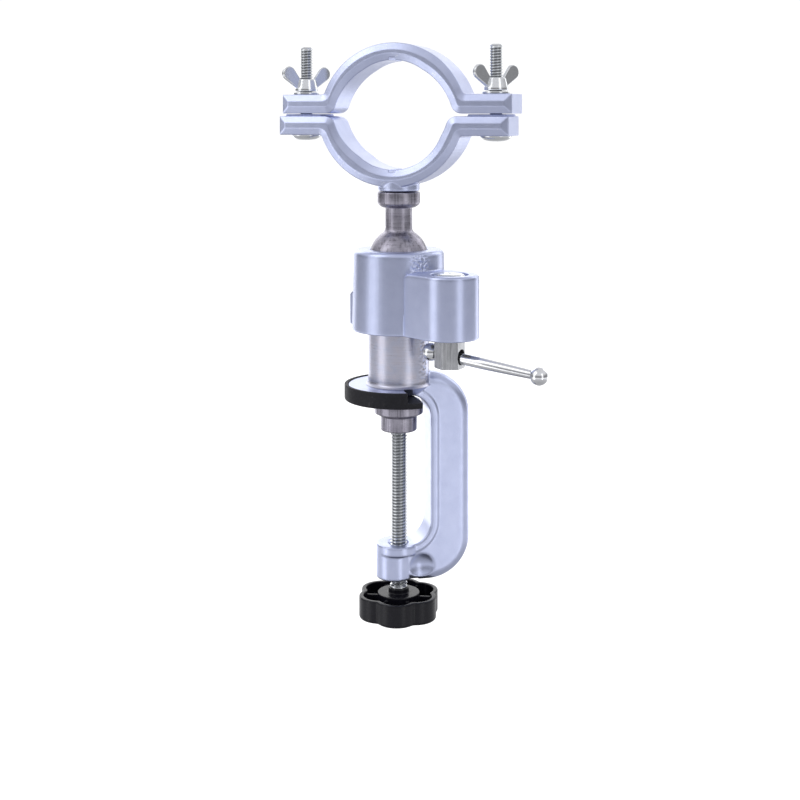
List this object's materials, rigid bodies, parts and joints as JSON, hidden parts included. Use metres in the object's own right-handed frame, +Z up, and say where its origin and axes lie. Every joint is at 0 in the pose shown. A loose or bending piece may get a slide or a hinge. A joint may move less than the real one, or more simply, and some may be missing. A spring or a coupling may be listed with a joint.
{
  "type": "bench clamp collar holder",
  "caption": "Bench clamp with a swivelling, tilting ball joint that carries a split ring collar for holding a small tool.",
  "frame": {"origin": "centre of the rubber bench pad's underside, on the clamp screw's axis", "axes": "+Z up along the stem, +X from the clamp screw towards the spine of the C-frame"},
  "size_m": [0.104, 0.1007, 0.2632],
  "materials": {
    "cast_paint": "satin silver-blue lacquer over a die casting",
    "rubber": "matt moulded rubber",
    "raw_steel": "unplated turned steel",
    "dark_steel": "phosphated spring steel",
    "zinc_steel": "bright zinc plate",
    "zinc_steel_nut": "zinc plate",
    "black_plastic": "fine-grained moulding",
    "zinc_bolt": "bright zinc plate",
    "inner_steel": "plain turned steel",
    "brushed_nut": "nickel plate, brushed",
    "chrome_bar": "bright plate",
    "seat_nylon": "natural nylon",
    "bright_zinc": "bright zinc plate"
  },
  "bodies": {
    "c_frame": {"c_frame": "cast_paint", "bench_pad": "rubber"},
    "pressure_foot": {"pressure_foot": "raw_steel", "foot_clip": "dark_steel"},
    "clamp_screw": {"clamp_screw": "zinc_steel", "knob": "black_plastic", "knob_nut": "zinc_steel_nut"},
    "housing": {"housing": "cast_paint", "clamp_bolt": "zinc_bolt", "upper_wedge": "inner_steel", "lower_wedge": "inner_steel", "lock_slipper": "inner_steel", "lock_washer": "inner_steel"},
    "lock_nut": {"lock_nut": "brushed_nut"},
    "tbar": {"tbar_rod": "chrome_bar", "tbar_ball_inner": "chrome_bar", "tbar_ball_outer": "chrome_bar"},
    "ball_seat": {"ball_seat": "seat_nylon"},
    "ball_stud": {"ball_stud": "raw_steel"},
    "collar_lower": {"collar_lower": "cast_paint", "wing_bolt_left": "zinc_steel", "wing_bolt_right": "zinc_steel"},
    "collar_upper": {"collar_upper": "cast_paint", "washer_left": "zinc_steel", "washer_right": "zinc_steel"},
    "wing_nut_left": {"wing_nut_left": "bright_zinc"},
    "wing_nut_right": {"wing_nut_right": "bright_zinc"}
  },
  "joints": [
    {"name": "foot_travel", "type": "slide", "parent": "c_frame", "child": "pressure_foot", "axis": [0, 0, 1], "range_m": [-0.05, 0]},
    {"name": "clamp_screw_turn", "type": "hinge", "parent": "pressure_foot", "child": "clamp_screw", "pos_m": [0, 0, -0.05], "axis": [0, 0, 1], "range_deg": [-12757, 0]},
    {"name": "housing_swivel", "type": "hinge", "parent": "c_frame", "child": "housing", "pos_m": [0, 0, 0.04], "axis": [0, 0, 1], "continuous": true},
    {"name": "lock_nut_turn", "type": "hinge", "parent": "housing", "child": "lock_nut", "pos_m": [0.01629, -0.02939, 0.024], "axis": [0, 0, 1], "range_deg": [-150, 120]},
    {"name": "tbar_slide", "type": "slide", "parent": "lock_nut", "child": "tbar", "axis": [0.7271, -0.678, -0.108], "range_m": [-0.005, 0]},
    {"name": "seat_turn", "type": "hinge", "parent": "housing", "child": "ball_seat", "pos_m": [0, 0, 0.0651], "axis": [0, 0, 1], "continuous": true},
    {"name": "ball_tilt", "type": "hinge", "parent": "ball_seat", "child": "ball_stud", "pos_m": [0, 0, 0.0651], "axis": [0.5446, 0.8387, 0], "range_deg": [-42, 42]},
    {"name": "collar_spin", "type": "hinge", "parent": "ball_stud", "child": "collar_lower", "pos_m": [0, 0, 0.1], "axis": [0, 0, 1], "continuous": true},
    {"name": "collar_open", "type": "slide", "parent": "collar_lower", "child": "collar_upper", "axis": [0, 0, 1], "range_m": [0, 0.01]},
    {"name": "wing_nut_left_turn", "type": "hinge", "parent": "collar_upper", "child": "wing_nut_left", "pos_m": [-0.039, 0.02533, 0.145], "axis": [0, 0, 1], "range_deg": [0, 2836]},
    {"name": "wing_nut_right_turn", "type": "hinge", "parent": "collar_upper", "child": "wing_nut_right", "pos_m": [0.039, -0.02533, 0.145], "axis": [0, 0, 1], "range_deg": [0, 2836]}
  ],
  "couplings": [
    {"joint": "clamp_screw_turn", "follows": "foot_travel", "rad_per_m": 4452.7},
    {"joint": "wing_nut_left_turn", "follows": "collar_open", "rad_per_m": 4947.4},
    {"joint": "wing_nut_right_turn", "follows": "collar_open", "rad_per_m": 4947.4}
  ]
}
